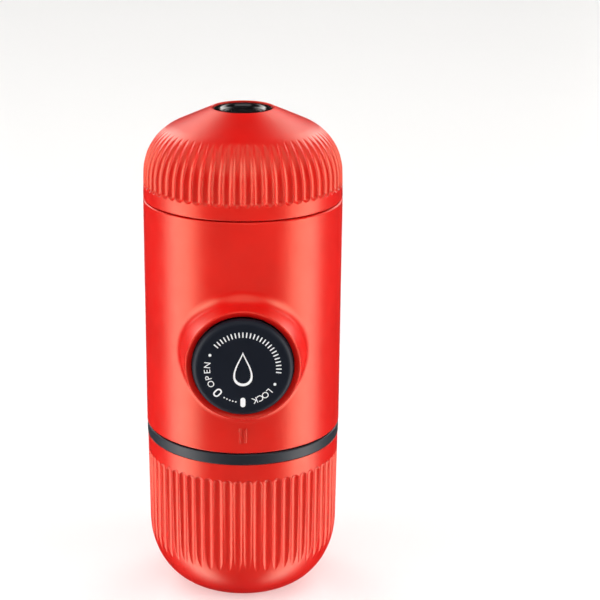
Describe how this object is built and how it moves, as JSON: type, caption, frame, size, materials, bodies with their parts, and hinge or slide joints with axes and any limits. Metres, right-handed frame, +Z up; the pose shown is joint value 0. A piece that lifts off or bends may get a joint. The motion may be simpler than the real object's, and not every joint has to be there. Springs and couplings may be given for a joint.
{
  "type": "portable espresso maker",
  "caption": "Hand-pumped portable espresso maker: red fluted water tank and cup, plain red body with a black pump knob and a black ring, standing on its cup",
  "frame": {"origin": "centre of the cup's flat foot, on the floor", "axes": "+Z up along the body, -Y towards the front that carries the pump knob, +X to the right seen from the front"},
  "size_m": [0.0616, 0.0708, 0.156],
  "materials": {
    "red_plastic": "satin",
    "black_plastic": "satin",
    "gloss_black": "polished",
    "inner_plastic": "matte",
    "steel": "brushed",
    "silicone": "matte"
  },
  "bodies": {
    "cup": {"drinking_cup": "red_plastic"},
    "outlet_head": {"outlet_head": "black_plastic", "cup_grip_ring": "silicone", "filter_basket": "steel", "spout_nozzle": "inner_plastic"},
    "brew_gasket": {"brew_gasket": "silicone"},
    "main_body": {"body_shell": "red_plastic", "brew_head": "inner_plastic", "head_seal": "silicone", "shower_screen": "steel", "shower_screw": "steel", "lower_tie_screws": "steel", "tank_floor": "inner_plastic", "floor_seal": "silicone", "intake_strainer": "steel", "vent_valve": "silicone", "upper_tie_screws": "steel", "pump_block": "inner_plastic", "pump_guide": "inner_plastic", "flange_screws": "steel", "inlet_valve": "silicone", "outlet_valve": "silicone", "suction_tube": "silicone", "delivery_tube": "silicone", "return_spring": "steel"},
    "tank_gasket": {"tank_gasket": "silicone"},
    "tank": {"water_tank": "red_plastic", "tank_end_plug": "gloss_black"},
    "piston": {"piston_rod": "steel", "piston_head": "inner_plastic", "piston_seal": "silicone", "knob_screw": "steel"},
    "knob": {"knob_sleeve": "black_plastic", "knob_face": "black_plastic"}
  },
  "joints": [
    {"name": "machine_lift", "type": "slide", "parent": "cup", "child": "outlet_head", "axis": [0, 0, 1], "range_m": [0, 0.07]},
    {"name": "body_lift", "type": "slide", "parent": "outlet_head", "child": "brew_gasket", "axis": [0, 0, 1], "range_m": [0, 0.01201]},
    {"name": "body_turn", "type": "hinge", "parent": "brew_gasket", "child": "main_body", "pos_m": [0, 0, 0.06], "axis": [0, 0, 1], "range_deg": [0, 675]},
    {"name": "tank_turn", "type": "hinge", "parent": "main_body", "child": "tank_gasket", "pos_m": [0, 0, 0.128], "axis": [0, 0, 1], "range_deg": [0, 675]},
    {"name": "tank_lift", "type": "slide", "parent": "tank_gasket", "child": "tank", "axis": [0, 0, 1], "range_m": [0, 0.01201]},
    {"name": "pump_stroke", "type": "slide", "parent": "main_body", "child": "piston", "axis": [0, -1, 0], "range_m": [0, 0.018], "deforming": ["return_spring"]},
    {"name": "knob_twist", "type": "hinge", "parent": "piston", "child": "knob", "pos_m": [0, -0.04, 0.086], "axis": [0, -1, 0], "range_deg": [0, 45]}
  ],
  "couplings": [
    {"joint": "body_lift", "follows": "body_turn", "m_per_rad": 0.0010186},
    {"joint": "tank_lift", "follows": "tank_turn", "m_per_rad": 0.0010186}
  ]
}
